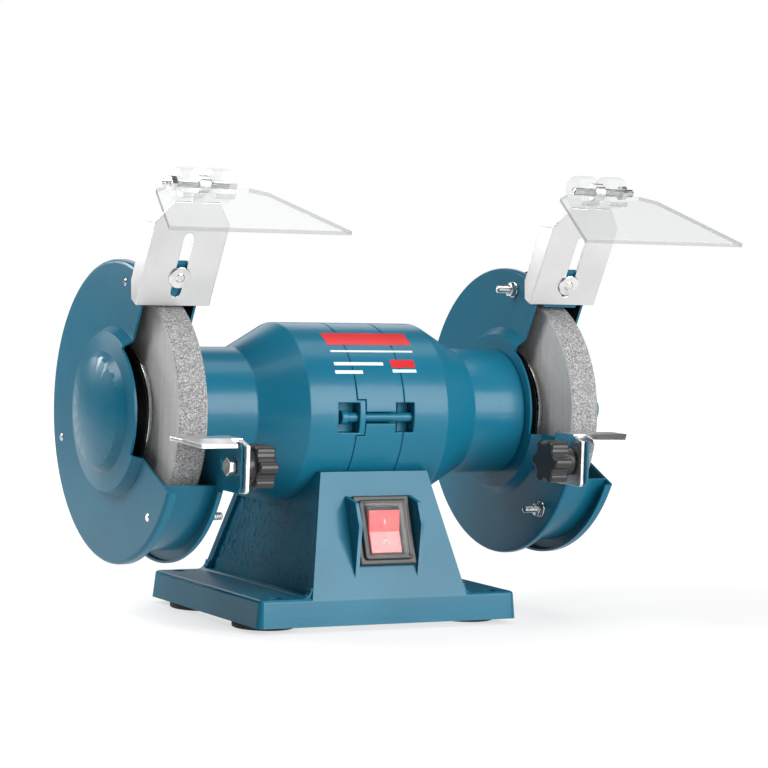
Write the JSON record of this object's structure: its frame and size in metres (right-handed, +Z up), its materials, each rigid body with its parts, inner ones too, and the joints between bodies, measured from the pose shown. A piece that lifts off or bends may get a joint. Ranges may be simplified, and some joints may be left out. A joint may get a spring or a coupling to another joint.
{
  "type": "bench grinder",
  "caption": "Double-ended bench grinder with guarded wheels, tool rests, spark guards with clear eye shields, and a covered rocker switch on a pedestal base.",
  "frame": {"origin": "on the bench, midway between the four mounting holes and the four feet", "axes": "+X along the spindle towards the right-hand wheel, -Y towards the person at work, +Z up"},
  "size_m": [0.321, 0.2062, 0.2325],
  "materials": {
    "casting_paint": "gloss steel-blue enamel on a casting",
    "sheet_paint": "gloss steel-blue enamel on pressed sheet",
    "zinc_sheet": "bright zinc-plated sheet",
    "stainless_sheet": "satin stainless sheet",
    "zinc_screws": "bright zinc plate",
    "painted_bolts": "painted over with the motor",
    "spindle_steel": "ground steel",
    "flange_steel": "dark steel with a bright rim",
    "core_steel": "stacked laminations",
    "rotor_aluminium": "as cast",
    "copper": "varnished winding wire",
    "abrasive": "coarse vitrified abrasive",
    "blotter_paper": "matt card",
    "foot_rubber": "matt black",
    "black_plastic": "moulded, semi-gloss",
    "red_plastic": "gloss translucent red",
    "clear_plastic": "clear polycarbonate",
    "capacitor_case": "gloss off-white"
  },
  "bodies": {
    "root": {"base_casting": "casting_paint", "end_bell_left": "casting_paint", "end_bell_right": "casting_paint", "stator_shell": "casting_paint", "guard_plate_left": "sheet_paint", "guard_plate_right": "sheet_paint", "guard_band_left": "sheet_paint", "guard_band_right": "sheet_paint", "guard_cover_left": "sheet_paint", "guard_cover_right": "sheet_paint", "base_cover": "zinc_sheet", "capacitor_clip": "zinc_sheet", "cover_screws": "zinc_screws", "guard_screws_left": "zinc_screws", "guard_screws_right": "zinc_screws", "guard_nuts_left": "zinc_screws", "guard_nuts_right": "zinc_screws", "bracket_screw_left": "zinc_screws", "bracket_screw_right": "zinc_screws", "saddle_bolts": "zinc_screws", "through_bolts": "painted_bolts", "bearing_outer_rings": "spindle_steel", "stator_core": "core_steel", "stator_windings": "copper", "rubber_feet": "foot_rubber", "switch_housing": "black_plastic", "terminal_block": "black_plastic", "cable_gland": "black_plastic", "switch_cap": "clear_plastic", "capacitor": "capacitor_case"},
    "rotor": {"shaft": "spindle_steel", "rotor_core": "core_steel", "rotor_end_rings": "rotor_aluminium", "bearing_inner_rings": "spindle_steel", "bearing_balls": "spindle_steel", "grinding_wheel_left": "abrasive", "grinding_wheel_right": "abrasive", "inner_flange_left": "flange_steel", "inner_flange_right": "flange_steel", "outer_flange_left": "flange_steel", "outer_flange_right": "flange_steel", "paper_washers_left": "blotter_paper", "paper_washers_right": "blotter_paper", "spindle_nut_left": "spindle_steel", "spindle_nut_right": "spindle_steel"},
    "rocker": {"switch_rocker": "red_plastic"},
    "rest_left": {"tool_rest_left": "zinc_sheet", "rest_bolt_left": "zinc_screws"},
    "knob_left": {"rest_knob_left": "black_plastic"},
    "bracket_left": {"spark_bracket_left": "stainless_sheet", "hinge_screw_left": "zinc_screws"},
    "shield_left": {"eye_shield_left": "clear_plastic"},
    "rest_right": {"tool_rest_right": "zinc_sheet", "rest_bolt_right": "zinc_screws"},
    "knob_right": {"rest_knob_right": "black_plastic"},
    "bracket_right": {"spark_bracket_right": "stainless_sheet", "hinge_screw_right": "zinc_screws"},
    "shield_right": {"eye_shield_right": "clear_plastic"}
  },
  "joints": [
    {"name": "rotor_spin", "type": "hinge", "parent": "root", "child": "rotor", "pos_m": [0, 0, 0.106], "axis": [1, 0, 0], "continuous": true},
    {"name": "switch_rock", "type": "hinge", "parent": "root", "child": "rocker", "pos_m": [0, -0.04759, 0.04737], "axis": [-1, 0, 0], "range_deg": [0, 16]},
    {"name": "rest_slide_left", "type": "slide", "parent": "root", "child": "rest_left", "axis": [0, 1, 0], "range_m": [-0.002, 0.0063]},
    {"name": "knob_turn_left", "type": "hinge", "parent": "rest_left", "child": "knob_left", "pos_m": [-0.088, -0.08, 0.0855], "axis": [-1, 0, 0], "range_deg": [0, 360]},
    {"name": "bracket_slide_left", "type": "slide", "parent": "root", "child": "bracket_left", "axis": [0, -0.4462, 0.8949], "range_m": [-0.001, 0.0077]},
    {"name": "shield_tilt_left", "type": "hinge", "parent": "bracket_left", "child": "shield_left", "pos_m": [-0.113, -0.06315, 0.22089], "axis": [1, 0, 0], "range_deg": [-60, 45]},
    {"name": "rest_slide_right", "type": "slide", "parent": "root", "child": "rest_right", "axis": [0, 1, 0], "range_m": [-0.007, 0.0013]},
    {"name": "knob_turn_right", "type": "hinge", "parent": "rest_right", "child": "knob_right", "pos_m": [0.088, -0.075, 0.0855], "axis": [1, 0, 0], "range_deg": [0, 360]},
    {"name": "bracket_slide_right", "type": "slide", "parent": "root", "child": "bracket_right", "axis": [0, -0.4462, 0.8949], "range_m": [-0.005, 0.0037]},
    {"name": "shield_tilt_right", "type": "hinge", "parent": "bracket_right", "child": "shield_right", "pos_m": [0.113, -0.06494, 0.22447], "axis": [1, 0, 0], "range_deg": [-60, 45]}
  ]
}
